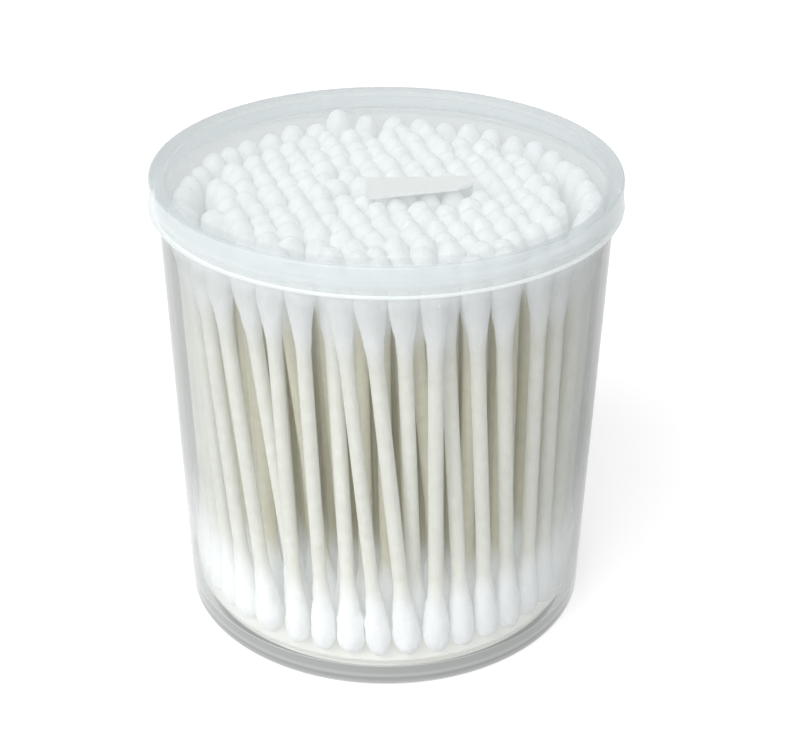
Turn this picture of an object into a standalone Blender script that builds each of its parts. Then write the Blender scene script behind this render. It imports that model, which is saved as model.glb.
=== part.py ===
"""Cotton swab tub: a clear tapered tub with a frosted press-on lid, packed with double-ended swabs.

Metres, +Z up. The origin is the centre of the foot ring's underside, and the front looks along -Y.
Angles around the tub are in degrees from the front, positive towards +X.
"""

import math
import random

import bmesh
import bpy
from mathutils import Matrix, Vector

# Tub, an injection moulded cup whose wall leans out and whose floor stands on a foot ring
TUB_HEADROOM = 0.0006
TUB_RIM_RADIUS = 0.0390
TUB_FOOT_RADIUS = 0.0369
TUB_WALL = 0.0012
TUB_FLOOR = 0.0012
TUB_FLOOR_FILLET = 0.0012
RIM_ROUNDING = 0.0004
FOOT_HEIGHT = 0.0028
FOOT_WIDTH = 0.0016
FOOT_ROUNDING = 0.0010
GATE_RADIUS = 0.0015
GATE_HEIGHT = 0.0004

# Lid, a shallow cap with a thick band that sits on the tub's rim
LID_PLATE = 0.0010
LID_WALL = 0.0010
LID_BAND_HEIGHT = 0.0023
LID_SKIRT = 0.0021
LID_SKIRT_FLARE = 0.0003
LID_EDGE_ROUNDING = 0.0006
FIT_GAP = 0.0003

# Swab, a paper stick with a bud of cotton wound on each end
SWAB_LENGTH = 0.0740
BUD_DIAMETER = 0.0046
BUD_LENGTH = 0.0155
STICK_DIAMETER = 0.0025
REST_GAP = 0.0003
BUD_GAP = 0.0003

# The outline of a bud as shares of its length and of its radius, from the tip to the stick
FINE_BUD_LENGTH_shares = (0.10, 0.36)
FINE_BUD_RADIUS_shares = (0.74, 1.00)
PLAIN_TOP_LENGTH_shares = (0.12, 0.36)
PLAIN_TOP_RADIUS_shares = (0.82, 1.00)
PLAIN_FOOT_LENGTH_shares = (0.24,)
PLAIN_FOOT_RADIUS_shares = (0.86,)
FINE_SIDES = 8
PLAIN_SIDES = 6

# Places along the wall at the front: foot angle, foot ring, head angle, head ring, the rings counted
# from the wall. Most swabs lean the same way, and a few slip behind their neighbours at one end.
WALL_RING = 0
SECOND_RING = 1
FRONT_PLACES = (
    (-46.5, WALL_RING, -60.5, WALL_RING),
    (-37.2, WALL_RING, -52.3, WALL_RING),
    (-32.0, SECOND_RING, -41.2, WALL_RING),
    (-26.8, WALL_RING, -32.4, WALL_RING),
    (-18.3, WALL_RING, -23.6, WALL_RING),
    (-9.8, WALL_RING, -18.2, SECOND_RING),
    (-1.3, WALL_RING, -12.6, WALL_RING),
    (7.2, WALL_RING, -4.4, WALL_RING),
    (11.5, SECOND_RING, 3.8, WALL_RING),
    (15.7, WALL_RING, 12.0, WALL_RING),
    (24.2, WALL_RING, 17.2, SECOND_RING),
    (32.7, WALL_RING, 22.6, WALL_RING),
    (41.2, WALL_RING, 31.4, WALL_RING),
    (49.7, WALL_RING, 43.8, WALL_RING),
    (58.2, WALL_RING, 53.6, WALL_RING),
    (66.7, WALL_RING, 64.4, WALL_RING),
)
FULL_TURN_DEG = 360.0
BACK_COUNT = 28
BACK_WAVE_DEG = 0.45
BACK_WAVES = 4
PROUD_DEG = 194.0
PROUD_LIFT = 0.0024

# Core, rows of swabs whose heads are pressed into each other, so each block is one body. The rows run
# from front to back, and all the feet are turned and drawn in against the heads. The slip stands
# between the two blocks.
CORE_PITCH = 0.0044
CORE_ROW_PITCH = 0.00385
CORE_TURN_DEG = 15.0
CORE_BREAK = 0.0008
CORE_TWIST_DEG = 7.0
CORE_SPREAD_share = 1.055
CORE_LIFT = 0.0006
CORE_SHIFT = 0.00005
CORE_FOOT_SHIFT = 0.0002
CORE_REACH = 0.0006
CORE_NEAREST = 0.0034
CORE_PRESSED = 0.0040
CORE_APART = 0.0049
CORE_CLOSEST = 0.0047
CORE_HELD = 0.0045
CORE_STEPS = 60
CORE_LAST_STEPS = 8
CORE_SLACK = 0.00002
CORE_SEED = 7

# Slip, a card leaflet whose leaf stands between the swabs and whose top is folded forward over them
SLIP_THICKNESS = 0.0005
SLIP_START = -0.0034
SLIP_WIDTH = 0.0182
SLIP_DEPTH = 0.0380
SLIP_FOLD_PLACE = 0.0012
SLIP_FLAP_LEFT = 0.0084
SLIP_FLAP_RIGHT = 0.0050
SLIP_CORNER = 0.0027
SLIP_CORNER_DEPTH = 0.0028
SLIP_BEND_RADIUS = 0.0006
SLIP_TILT_share = 0.02
SLIP_CLEAR = 0.0003

ROUND_SEGMENTS = 48
ARC_SEGMENTS = 3
BEND_SEGMENTS = 3
HALF_TURN = math.pi
FULL_TURN = 2 * math.pi
SHARP_DEG = 40.0

BUD_RADIUS = BUD_DIAMETER / 2
STICK_RADIUS = STICK_DIAMETER / 2
FLOOR_TOP = FOOT_HEIGHT + TUB_FLOOR
SWAB_REST = FLOOR_TOP + REST_GAP
TUB_HEIGHT = SWAB_REST + SWAB_LENGTH + TUB_HEADROOM
BUD_PITCH = BUD_DIAMETER + BUD_GAP
BUD_CORNER = BUD_RADIUS / math.cos(HALF_TURN / PLAIN_SIDES)


def clear_scene():
    """Remove every object of the open scene."""
    for item in list(bpy.data.objects):
        bpy.data.objects.remove(item, do_unlink=True)


def make_material(name, color, roughness, transmission=0.0, ior=1.5):
    """Make one Principled material; the colour is linear RGB."""
    material = bpy.data.materials.new(name)
    material.use_nodes = True
    shader = material.node_tree.nodes["Principled BSDF"]
    shader.inputs["Base Color"].default_value = (*color, 1.0)
    shader.inputs["Roughness"].default_value = roughness
    shader.inputs["Metallic"].default_value = 0.0
    shader.inputs["Transmission Weight"].default_value = transmission
    shader.inputs["IOR"].default_value = ior
    return material


def add_object(name, mesh):
    """Link a new object that shows this mesh."""
    item = bpy.data.objects.new(name, mesh)
    bpy.context.scene.collection.objects.link(item)
    return item


def mesh_from(bm, name, materials):
    """Turn a bmesh into a smooth shaded mesh with these materials."""
    mesh = bpy.data.meshes.new(name)
    bm.to_mesh(mesh)
    bm.free()
    for material in materials:
        mesh.materials.append(material)
    mesh.shade_smooth()
    mesh.set_sharp_from_angle(angle=math.radians(SHARP_DEG))
    return mesh


def arc(center, radius, start_deg, end_deg):
    """Points of an arc in the profile plane, ends included."""
    step = math.radians(end_deg - start_deg) / ARC_SEGMENTS
    start = math.radians(start_deg)
    return [
        (
            center[0] + radius * math.cos(start + step * i),
            center[1] + radius * math.sin(start + step * i),
        )
        for i in range(ARC_SEGMENTS + 1)
    ]


def turned(profile, steps):
    """Spin an open profile of (radius, height) points, whose ends lie on the axis, into a closed body."""
    bm = bmesh.new()
    points = [bm.verts.new((radius, 0, height)) for radius, height in profile]
    edges = [bm.edges.new(pair) for pair in zip(points, points[1:])]
    bmesh.ops.spin(
        bm,
        geom=points + edges,
        cent=(0, 0, 0),
        axis=(0, 0, 1),
        angle=FULL_TURN,
        steps=steps,
        use_merge=True,
    )
    smallest = min(math.dist(a, b) for a, b in zip(profile, profile[1:]))
    bmesh.ops.remove_doubles(bm, verts=bm.verts, dist=smallest / ROUND_SEGMENTS)
    bmesh.ops.recalc_face_normals(bm, faces=bm.faces)
    return bm


def tub_outer_radius(height):
    """Outer radius of the tapered wall at a height."""
    share = (height - FOOT_HEIGHT) / (TUB_HEIGHT - FOOT_HEIGHT)
    return TUB_FOOT_RADIUS + (TUB_RIM_RADIUS - TUB_FOOT_RADIUS) * share


def tub_inner_radius(height):
    """Inner radius of the tapered wall at a height."""
    return tub_outer_radius(height) - TUB_WALL


def build_tub(material):
    """The cup: floor, leaning wall with a rounded rim, and the foot ring under the floor."""
    fillet_height = FLOOR_TOP + TUB_FLOOR_FILLET
    fillet_center = (tub_inner_radius(fillet_height) - TUB_FLOOR_FILLET, fillet_height)
    rim_outer = TUB_RIM_RADIUS - RIM_ROUNDING
    rim_inner = TUB_RIM_RADIUS - TUB_WALL + RIM_ROUNDING
    rim_height = TUB_HEIGHT - RIM_ROUNDING
    foot_center = (TUB_FOOT_RADIUS - FOOT_ROUNDING, FOOT_ROUNDING)
    foot_inner = TUB_FOOT_RADIUS - FOOT_WIDTH - FOOT_ROUNDING
    profile = [(0, FLOOR_TOP)]
    profile += arc(fillet_center, TUB_FLOOR_FILLET, -90, 0)
    profile += arc((rim_inner, rim_height), RIM_ROUNDING, 180, 90)
    profile += arc((rim_outer, rim_height), RIM_ROUNDING, 90, 0)
    profile.append((TUB_FOOT_RADIUS, FOOT_HEIGHT))
    profile += arc(foot_center, FOOT_ROUNDING, 0, -90)
    profile += [
        (foot_inner, 0),
        (foot_inner, FOOT_HEIGHT),
        (GATE_RADIUS, FOOT_HEIGHT),
        (GATE_RADIUS, FOOT_HEIGHT - GATE_HEIGHT),
        (0, FOOT_HEIGHT - GATE_HEIGHT),
    ]
    return add_object("tub", mesh_from(turned(profile, ROUND_SEGMENTS), "tub", [material]))


def build_lid(material):
    """The cap: flat plate, thick band that meets the rim, and a thin skirt around the tub."""
    seat_height = TUB_HEIGHT + FIT_GAP
    band_radius = TUB_RIM_RADIUS - TUB_WALL
    bore_radius = TUB_RIM_RADIUS + FIT_GAP
    outer_radius = bore_radius + LID_WALL
    plate_under = seat_height + LID_BAND_HEIGHT
    top = plate_under + LID_PLATE
    skirt_end = seat_height - LID_SKIRT
    edge_center = (outer_radius - LID_EDGE_ROUNDING, top - LID_EDGE_ROUNDING)
    profile = [(0, top)]
    profile += arc(edge_center, LID_EDGE_ROUNDING, 90, 0)
    profile += [
        (outer_radius + LID_SKIRT_FLARE, skirt_end),
        (bore_radius + LID_SKIRT_FLARE, skirt_end),
        (bore_radius, seat_height),
        (band_radius, seat_height),
        (band_radius, plate_under),
        (0, plate_under),
    ]
    return add_object("lid", mesh_from(turned(profile, ROUND_SEGMENTS), "lid", [material]))


def bud_rings(length_shares, radius_shares, spread):
    """Distance from the tip and radius of each ring of a bud, the last one where the stick begins."""
    rings = [
        (BUD_LENGTH * along, BUD_RADIUS * out * spread)
        for along, out in zip(length_shares, radius_shares)
    ]
    return rings + [(BUD_LENGTH, STICK_RADIUS * spread)]


def swab_body(sides, head, foot):
    """One swab upright on its foot tip, as flat sides that lie outside its round section."""
    spread = 1 / math.cos(HALF_TURN / sides)
    profile = [(0, SWAB_LENGTH)]
    profile += [(radius, SWAB_LENGTH - along) for along, radius in bud_rings(*head, spread)]
    profile += [(radius, along) for along, radius in reversed(bud_rings(*foot, spread))]
    profile.append((0, 0))
    bm = turned(profile, sides)
    flat_turn = Matrix.Rotation(HALF_TURN / sides, 3, "Z")
    bmesh.ops.rotate(bm, verts=bm.verts, cent=(0, 0, 0), matrix=flat_turn)
    for face in bm.faces:
        height = face.calc_center_median().z
        face.material_index = int(BUD_LENGTH < height < SWAB_LENGTH - BUD_LENGTH)
    return bm


def stand_matrix(foot, head, lift, angle_deg):
    """Place a swab so that it leans from its foot to its head point, a flat side facing outwards."""
    facing = math.radians(angle_deg) - HALF_TURN / 2
    lean = Vector((head[0] - foot[0], head[1] - foot[1], 0))
    lean.z = math.sqrt(SWAB_LENGTH**2 - lean.length_squared)
    upright = Vector((0, 0, 1)).rotation_difference(lean).to_matrix().to_4x4()
    place = Matrix.Translation((foot[0], foot[1], SWAB_REST + lift))
    return place @ upright @ Matrix.Rotation(facing, 4, "Z")


def ring_radius(ring, height):
    """Radius at which a bud stands against the wall at this height, or this many buds further in."""
    return tub_inner_radius(height) - BUD_RADIUS - REST_GAP - BUD_PITCH * ring


def back_places():
    """Even places along the rest of the wall, with a slow wave in how far the heads lean."""
    first_foot, _, first_head, _ = FRONT_PLACES[0]
    last_foot, _, last_head, _ = FRONT_PLACES[-1]
    foot_step = (FULL_TURN_DEG + first_foot - last_foot) / (BACK_COUNT + 1)
    head_step = (FULL_TURN_DEG + first_head - last_head) / (BACK_COUNT + 1)
    places = []
    for i in range(1, BACK_COUNT + 1):
        wave = BACK_WAVE_DEG * math.sin(FULL_TURN * BACK_WAVES * i / (BACK_COUNT + 1))
        places.append(
            (last_foot + foot_step * i, WALL_RING, last_head + head_step * i + wave, WALL_RING)
        )
    return places


def wall_swabs():
    """Foot point, head point, lift and facing of every swab that stands near the wall."""
    swabs = []
    places = list(FRONT_PLACES) + back_places()
    proud = min(places, key=lambda place: abs(place[2] - PROUD_DEG))
    for place in places:
        foot_deg, foot_ring, head_deg, head_ring = place
        foot = polar_point(foot_deg, ring_radius(foot_ring, FLOOR_TOP + BUD_LENGTH / 2))
        head = polar_point(head_deg, ring_radius(head_ring, SWAB_LENGTH))
        lift = PROUD_LIFT if place == proud else 0
        swabs.append((foot, head, lift, (foot_deg + head_deg) / 2, foot_ring, head_ring))
    return swabs


def polar_point(angle_deg, radius):
    """Plan point at this angle from the front and this radius."""
    angle = math.radians(angle_deg)
    return (radius * math.sin(angle), -radius * math.cos(angle))


def flat_distance(offset):
    """How far apart two plan points are, measured square to the flat sides of a core swab."""
    first = math.radians(CORE_TURN_DEG) + HALF_TURN / 2
    sides = (first + FULL_TURN * i / PLAIN_SIDES for i in range(PLAIN_SIDES // 2))
    return max(abs(offset @ Vector((math.cos(side), math.sin(side)))) for side in sides)


def beside_both(one, other, distance):
    """Plan point on the inner side of two neighbours, this far from both."""
    across = Vector(other) - Vector(one)
    inward = Vector((-across.y, across.x)).normalized()
    return Vector(one) + across / 2 + inward * math.sqrt(distance**2 - across.length_squared / 4)


def clear_of_leaf(point):
    """Move a plan point off the leaf of the slip that stands between the swabs."""
    reach = BUD_CORNER + SLIP_CLEAR + SLIP_THICKNESS / 2
    off = point.y - SLIP_FOLD_PLACE
    if SLIP_START - reach < point.x < SLIP_START + SLIP_WIDTH + reach and abs(off) < reach:
        point.y = SLIP_FOLD_PLACE + math.copysign(reach, off)


def stand_off_leaf(foot, head):
    """Move a foot point so that the stick stands clear of the leaf, down to the leaf's lower end."""
    reach = STICK_RADIUS / math.cos(HALF_TURN / PLAIN_SIDES) + SLIP_CLEAR + SLIP_THICKNESS / 2
    share = SLIP_DEPTH / SWAB_LENGTH
    low = head.lerp(foot, share)
    side = math.copysign(1, head.y - SLIP_FOLD_PLACE)
    if SLIP_START - reach < low.x < SLIP_START + SLIP_WIDTH + reach:
        short = reach - side * (low.y - SLIP_FOLD_PLACE)
        foot.y += side * max(short, 0) / share


def block_at(head):
    """Number of the block that this head point belongs to: in front of the slip and its rows, or behind."""
    past = head.x - min(max(head.x, SLIP_START), SLIP_START + SLIP_WIDTH)
    return int(head.y > SLIP_FOLD_PLACE + past * math.tan(math.radians(CORE_TURN_DEG)))


def second_ring_sites(walled, between):
    """Foot and head points behind each two neighbours of the wall ring."""
    sites = []
    for one, other in zip(walled, walled[1:] + walled[:1]):
        foot, head = (beside_both(one[end], other[end], between) for end in (0, 1))
        sites.append((foot, head, block_at(head)))
    return sites


def core_sites():
    """Foot and head points of a full core, row by row, with the block that each one belongs to."""
    reach = ring_radius(SECOND_RING, SWAB_LENGTH) + CORE_REACH
    rows = math.ceil(reach / CORE_ROW_PITCH)
    places = math.ceil(reach / CORE_PITCH)
    turn = Matrix.Rotation(math.radians(CORE_TURN_DEG), 2)
    twist = Matrix.Rotation(math.radians(CORE_TWIST_DEG), 2)
    rng = random.Random(CORE_SEED)
    sites = []
    for row in range(-rows, rows + 1):
        for place in range(-places, places + 1):
            head = turn @ Vector((CORE_ROW_PITCH * row, CORE_PITCH * (place + row % 2 / 2)))
            block = block_at(head)
            head += turn @ Vector((0, CORE_BREAK * (block - 1 / 2)))
            head += CORE_SHIFT * Vector((rng.uniform(-1, 1), rng.uniform(-1, 1)))
            clear_of_leaf(head)
            foot = twist @ head / CORE_SPREAD_share
            foot += CORE_FOOT_SHIFT * Vector((rng.uniform(-1, 1), rng.uniform(-1, 1)))
            if head.length < reach:
                sites.append((foot, head, block))
    return sites


def pressed_together(swabs):
    """The largest group of swabs whose heads press on each other."""
    groups = []
    for swab in swabs:
        touching = [
            group for group in groups if any(math.dist(swab[1], other[1]) < CORE_HELD for other in group)
        ]
        groups = [group for group in groups if group not in touching]
        groups.append([swab] + [member for group in touching for member in group])
    return max(groups, key=len)


def clear_of_walls(point, walls, between):
    """Move a plan point away from the swabs at the wall that are too near."""
    for wall in walls:
        offset = point - wall
        if offset.length < between:
            point += offset.normalized() * (between - offset.length)


def settle(points, blocks, walls, between, has_leaf):
    """Push plan points apart, step by step, until they only press on each other as real buds do."""
    for _ in range(CORE_STEPS):
        for i, point in enumerate(points):
            for j in range(i):
                offset = point - points[j]
                together = blocks[i] == blocks[j]
                reach = offset.length if together else flat_distance(offset)
                short = (CORE_PRESSED if together else CORE_APART) - reach
                if short > 0:
                    push = offset.normalized() * short / 2
                    point += push
                    points[j] -= push
            clear_of_walls(point, walls, between)
            if has_leaf:
                clear_of_leaf(point)
    for point in points * CORE_LAST_STEPS:
        clear_of_walls(point, walls, between)
        if has_leaf:
            clear_of_leaf(point)


def core_blocks(walled):
    """The swabs of each block, settled between the swabs at the wall and the slip."""
    between = BUD_RADIUS / math.cos(HALF_TURN / FINE_SIDES) + BUD_CORNER + BUD_GAP
    sites = core_sites()
    for foot, head, block in second_ring_sites(walled, between):
        if all((head - other).length > CORE_NEAREST for _, other, _ in sites):
            sites.append((foot, head, block))
    feet = [site[0] for site in sites]
    heads = [site[1] for site in sites]
    numbers = [site[2] for site in sites]
    wall_feet = [Vector(swab[0]) for swab in walled]
    wall_heads = [Vector(swab[1]) for swab in walled]
    settle(feet, numbers, wall_feet, between, False)
    settle(heads, numbers, wall_heads, between, True)
    rng = random.Random(CORE_SEED)
    blocks = [[], []]
    kept = []
    for foot, head, block in sites:
        stand_off_leaf(foot, head)
        lift = CORE_LIFT * rng.random()
        clear = all((foot - wall).length > between - CORE_SLACK for wall in wall_feet)
        clear = clear and all((head - wall).length > between - CORE_SLACK for wall in wall_heads)
        clear = clear and all(
            min(flat_distance(foot - other[0]), flat_distance(head - other[1])) > CORE_CLOSEST
            for other in kept
            if other[2] != block
        )
        if clear:
            kept.append((foot, head, block))
            blocks[block].append((tuple(foot), tuple(head), lift, CORE_TURN_DEG))
    return [pressed_together(block) for block in blocks]


def sets_apart(swabs):
    """Share out swabs among sets whose members stand clear of each other."""
    apart = 2 * BUD_CORNER + BUD_GAP
    sets = []
    for swab in swabs:
        for members in sets:
            if all(
                math.dist(swab[0], other[0]) > apart and math.dist(swab[1], other[1]) > apart
                for other in members
            ):
                members.append(swab)
                break
        else:
            sets.append([swab])
    return sets


def build_wall_swabs(walled, materials):
    """One object for each swab near the wall; they share one mesh."""
    fine = (FINE_BUD_LENGTH_shares, FINE_BUD_RADIUS_shares)
    mesh = mesh_from(swab_body(FINE_SIDES, fine, fine), "swab", materials)
    for number, (foot, head, lift, angle, _, _) in enumerate(walled, start=1):
        swab = add_object(f"swab_{number:02d}", mesh)
        swab.matrix_world = stand_matrix(foot, head, lift, angle)


def block_mesh(name, swabs, template, materials):
    """Swabs that stand clear of each other, joined in one mesh."""
    bm = bmesh.new()
    for foot, head, lift, angle in swabs:
        part = template.copy()
        part.transform(stand_matrix(foot, head, lift, angle))
        bm.from_mesh(part)
        bpy.data.meshes.remove(part)
    return mesh_from(bm, name, materials)


def build_core(walled, materials):
    """The inner swabs: each block is the union of a few sets of swabs that stand clear of each other."""
    head = (PLAIN_TOP_LENGTH_shares, PLAIN_TOP_RADIUS_shares)
    foot = (PLAIN_FOOT_LENGTH_shares, PLAIN_FOOT_RADIUS_shares)
    template = mesh_from(swab_body(PLAIN_SIDES, head, foot), "core_swab", materials)
    for number, swabs in enumerate(core_blocks(walled), start=1):
        name = f"swab_block_{number}"
        first, *others = sets_apart(swabs)
        core = add_object(name, block_mesh(name, first, template, materials))
        for members in others:
            between = add_object(name + "_set", block_mesh(name, members, template, materials))
            between.hide_render = True
            between.display_type = "WIRE"
            union = core.modifiers.new("pressed_buds", "BOOLEAN")
            union.operation = "UNION"
            union.solver = "EXACT"
            union.object = between


def slip_point(across, travel):
    """Fold the flat slip: travel runs up the leaf, round the bend, and forward over the tips."""
    bend = SLIP_BEND_RADIUS * HALF_TURN / 2
    top = SWAB_REST + CORE_LIFT + SWAB_LENGTH + SLIP_CLEAR + SLIP_THICKNESS
    if travel <= 0:
        along, height = 0, travel - SLIP_BEND_RADIUS
    elif travel < bend:
        angle = travel / SLIP_BEND_RADIUS
        along = SLIP_BEND_RADIUS * (1 - math.cos(angle))
        height = SLIP_BEND_RADIUS * (math.sin(angle) - 1)
    else:
        along, height = SLIP_BEND_RADIUS + travel - bend, 0
    height += top + SLIP_TILT_share * (across - SLIP_START)
    return Vector((across, SLIP_FOLD_PLACE - along, height))


def build_slip(material):
    """The card leaflet, cut as one flat outline, creased, folded and given its thickness."""
    bend = SLIP_BEND_RADIUS * HALF_TURN / 2
    right = SLIP_START + SLIP_WIDTH
    outline = [
        (SLIP_START, -SLIP_DEPTH),
        (right, -SLIP_DEPTH),
        (right, bend),
        (right, bend + SLIP_CORNER_DEPTH),
        (right - SLIP_CORNER, bend + SLIP_FLAP_RIGHT),
        (SLIP_START, bend + SLIP_FLAP_LEFT),
        (SLIP_START, bend),
    ]
    bm = bmesh.new()
    bm.faces.new([bm.verts.new((across, travel, 0)) for across, travel in outline])
    for i in range(BEND_SEGMENTS + 1):
        crease = (0, bend * i / BEND_SEGMENTS, 0)
        geometry = bm.verts[:] + bm.edges[:] + bm.faces[:]
        bmesh.ops.bisect_plane(bm, geom=geometry, plane_co=crease, plane_no=(0, 1, 0))
    for vert in bm.verts:
        vert.co = slip_point(vert.co.x, vert.co.y)
    bmesh.ops.recalc_face_normals(bm, faces=bm.faces)
    slip = add_object("paper_slip", mesh_from(bm, "paper_slip", [material]))
    solidify = slip.modifiers.new("card", "SOLIDIFY")
    solidify.thickness = SLIP_THICKNESS
    solidify.offset = 0
    return slip


def main():
    """Build every piece in place."""
    clear_scene()
    clear = make_material("clear_styrene", (0.90, 0.93, 0.92), 0.08, transmission=0.95, ior=1.58)
    frosted = make_material("frosted_polypropylene", (0.88, 0.92, 0.92), 0.30, transmission=0.6)
    cotton = make_material("wound_cotton", (0.93, 0.94, 0.93), 0.95)
    paper = make_material("rolled_paper", (0.80, 0.79, 0.70), 0.75)
    card = make_material("pale_card", (0.70, 0.73, 0.72), 0.70)
    build_tub(clear)
    build_lid(frosted)
    walled = wall_swabs()
    build_wall_swabs(walled, [cotton, paper])
    build_core(walled, [cotton, paper])
    build_slip(card)


main()
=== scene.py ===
"""Cotton swab tub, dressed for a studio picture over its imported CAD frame.

All lengths are in metres, in the frame of the CAD model: +Z up, and the front looks along -Y.
"""

import logging
import math
import random
from collections.abc import Callable
from dataclasses import dataclass
from enum import Enum

import bmesh
import bpy
from mathutils import Matrix, Vector, noise


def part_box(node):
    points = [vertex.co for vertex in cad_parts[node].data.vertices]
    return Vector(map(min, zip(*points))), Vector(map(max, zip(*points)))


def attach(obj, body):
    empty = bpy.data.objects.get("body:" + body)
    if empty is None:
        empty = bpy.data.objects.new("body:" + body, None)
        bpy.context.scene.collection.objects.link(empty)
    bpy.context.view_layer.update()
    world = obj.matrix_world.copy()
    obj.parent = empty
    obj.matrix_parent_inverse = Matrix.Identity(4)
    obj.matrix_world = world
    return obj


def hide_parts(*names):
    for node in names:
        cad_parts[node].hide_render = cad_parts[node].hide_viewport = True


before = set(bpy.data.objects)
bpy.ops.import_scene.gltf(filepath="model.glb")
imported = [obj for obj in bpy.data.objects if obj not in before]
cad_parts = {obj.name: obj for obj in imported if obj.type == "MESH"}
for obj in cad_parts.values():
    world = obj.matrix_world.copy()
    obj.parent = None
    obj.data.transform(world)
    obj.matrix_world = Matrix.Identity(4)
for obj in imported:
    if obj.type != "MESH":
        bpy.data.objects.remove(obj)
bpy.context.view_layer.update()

log = logging.getLogger("swab_tub")

Color = tuple[float, float, float]
Pair = tuple[float, float]
Profile = list[Pair]

MM = 0.001
MERGE_DISTANCE = 0.01 * MM
POINT_SLACK = MM / 10
FULL_TURN = 2 * math.pi
EVEN: Color = (1.0, 1.0, 1.0)
WHITE: Color = (1.0, 1.0, 1.0)
NOISE_MIDDLE: Pair = (0.3, 0.7)
MIX_FACTOR, MIX_FIRST, MIX_SECOND, MIX_RESULT = 0, 6, 7, 2
WRAP_ATTRIBUTE = "wrap"
VEIL_ATTRIBUTE = "veil"
# Share of a painted tone: the tub's painted highlight and painted light, and the lid's painted shade.
PAINTED_LIGHT_SHADE_ATTRIBUTE = "depth"
LIP_ATTRIBUTE = "lip"


class Body(Enum):
    """The CAD bodies that pieces ride on."""

    TUB = "tub"
    LID = "lid"


class TubPart(Enum):
    """The tub's materials, by the numbers that its faces carry."""

    WALL = 0
    FOOT = 1
    FLOOR = 2


class SwabGrade(Enum):
    """How finely a swab is turned: sides around, and rings along each bud."""

    NEAR_WALL = (28, 24)
    PRESSED = (20, 16)

    @property
    def sides(self) -> int:
        """Sides around the swab."""
        return self.value[0]

    @property
    def bud_rings(self) -> int:
        """Rings along one bud."""
        return self.value[1]


def opaque(value: object) -> object:
    """Give a colour its alpha, and leave anything else as it is."""
    return (*value, 1.0) if isinstance(value, tuple) else value


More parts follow.
